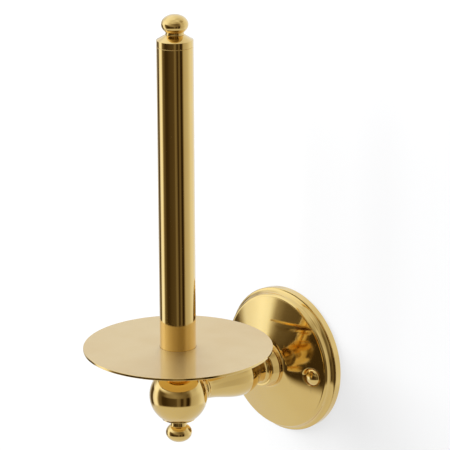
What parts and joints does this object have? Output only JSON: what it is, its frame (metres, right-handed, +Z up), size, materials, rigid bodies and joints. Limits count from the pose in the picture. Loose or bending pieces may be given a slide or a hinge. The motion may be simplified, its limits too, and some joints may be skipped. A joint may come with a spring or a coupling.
{
  "type": "toilet paper holder",
  "caption": "Wall-mounted upright holder for spare toilet rolls: round shelf and post carried by a turned arm on a round wall rose.",
  "frame": {"origin": "centre of the wall rose's back face, on the wall plane", "axes": "+Y into the wall, so the arm runs along -Y into the room; +Z up, along the post; +X to the right seen from the room"},
  "size_m": [0.115, 0.1873, 0.2827],
  "materials": {
    "polished_brass": "polished",
    "turned_brass": "turned, left unpolished",
    "zinc_steel": "zinc plated",
    "red_fibre": "matt"
  },
  "bodies": {
    "holder": {"wall_rose": "polished_brass", "neck_collar": "polished_brass", "arm": "polished_brass", "arm_end_ring": "polished_brass", "arm_stud": "zinc_steel", "ball_stud": "zinc_steel", "back_washer": "zinc_steel", "spring_washer": "zinc_steel", "back_nut": "zinc_steel", "wall_screw_right": "zinc_steel", "wall_screw_left": "zinc_steel", "ball": "polished_brass", "shelf_seat": "polished_brass", "shelf_pad": "red_fibre", "shelf_plate": "polished_brass", "post_tube": "polished_brass", "foot_bush": "turned_brass", "post_cap": "polished_brass", "tie_rod": "zinc_steel"},
    "finial_lift": {"finial_stud": "zinc_steel"},
    "finial_turn": {"finial": "polished_brass"},
    "collar_drop": {"lower_collar": "polished_brass"},
    "knob_turn": {"bottom_knob": "polished_brass"},
    "cover_right": {"screw_cover_right": "polished_brass"},
    "cover_left": {"screw_cover_left": "polished_brass"}
  },
  "joints": [
    {"name": "finial_rise", "type": "slide", "parent": "holder", "child": "finial_lift", "axis": [0, 0, 1], "range_m": [0, 0.006]},
    {"name": "finial_unscrew", "type": "hinge", "parent": "finial_lift", "child": "finial_turn", "pos_m": [0, -0.095, 0.23], "axis": [0, 0, 1], "range_deg": [0, 2160]},
    {"name": "collar_fall", "type": "slide", "parent": "holder", "child": "collar_drop", "axis": [0, 0, -1], "range_m": [0, 0.009]},
    {"name": "bottom_knob_unscrew", "type": "hinge", "parent": "collar_drop", "child": "knob_turn", "pos_m": [0, -0.095, -0.024], "axis": [0, 0, -1], "range_deg": [0, 3240]},
    {"name": "right_cover_pull", "type": "slide", "parent": "holder", "child": "cover_right", "axis": [0, -1, 0], "range_m": [0, 0.006]},
    {"name": "left_cover_pull", "type": "slide", "parent": "holder", "child": "cover_left", "axis": [0, -1, 0], "range_m": [0, 0.006]}
  ],
  "couplings": [
    {"joint": "finial_rise", "follows": "finial_unscrew", "m_per_rad": 0.000159},
    {"joint": "collar_fall", "follows": "bottom_knob_unscrew", "m_per_rad": 0.000159}
  ]
}
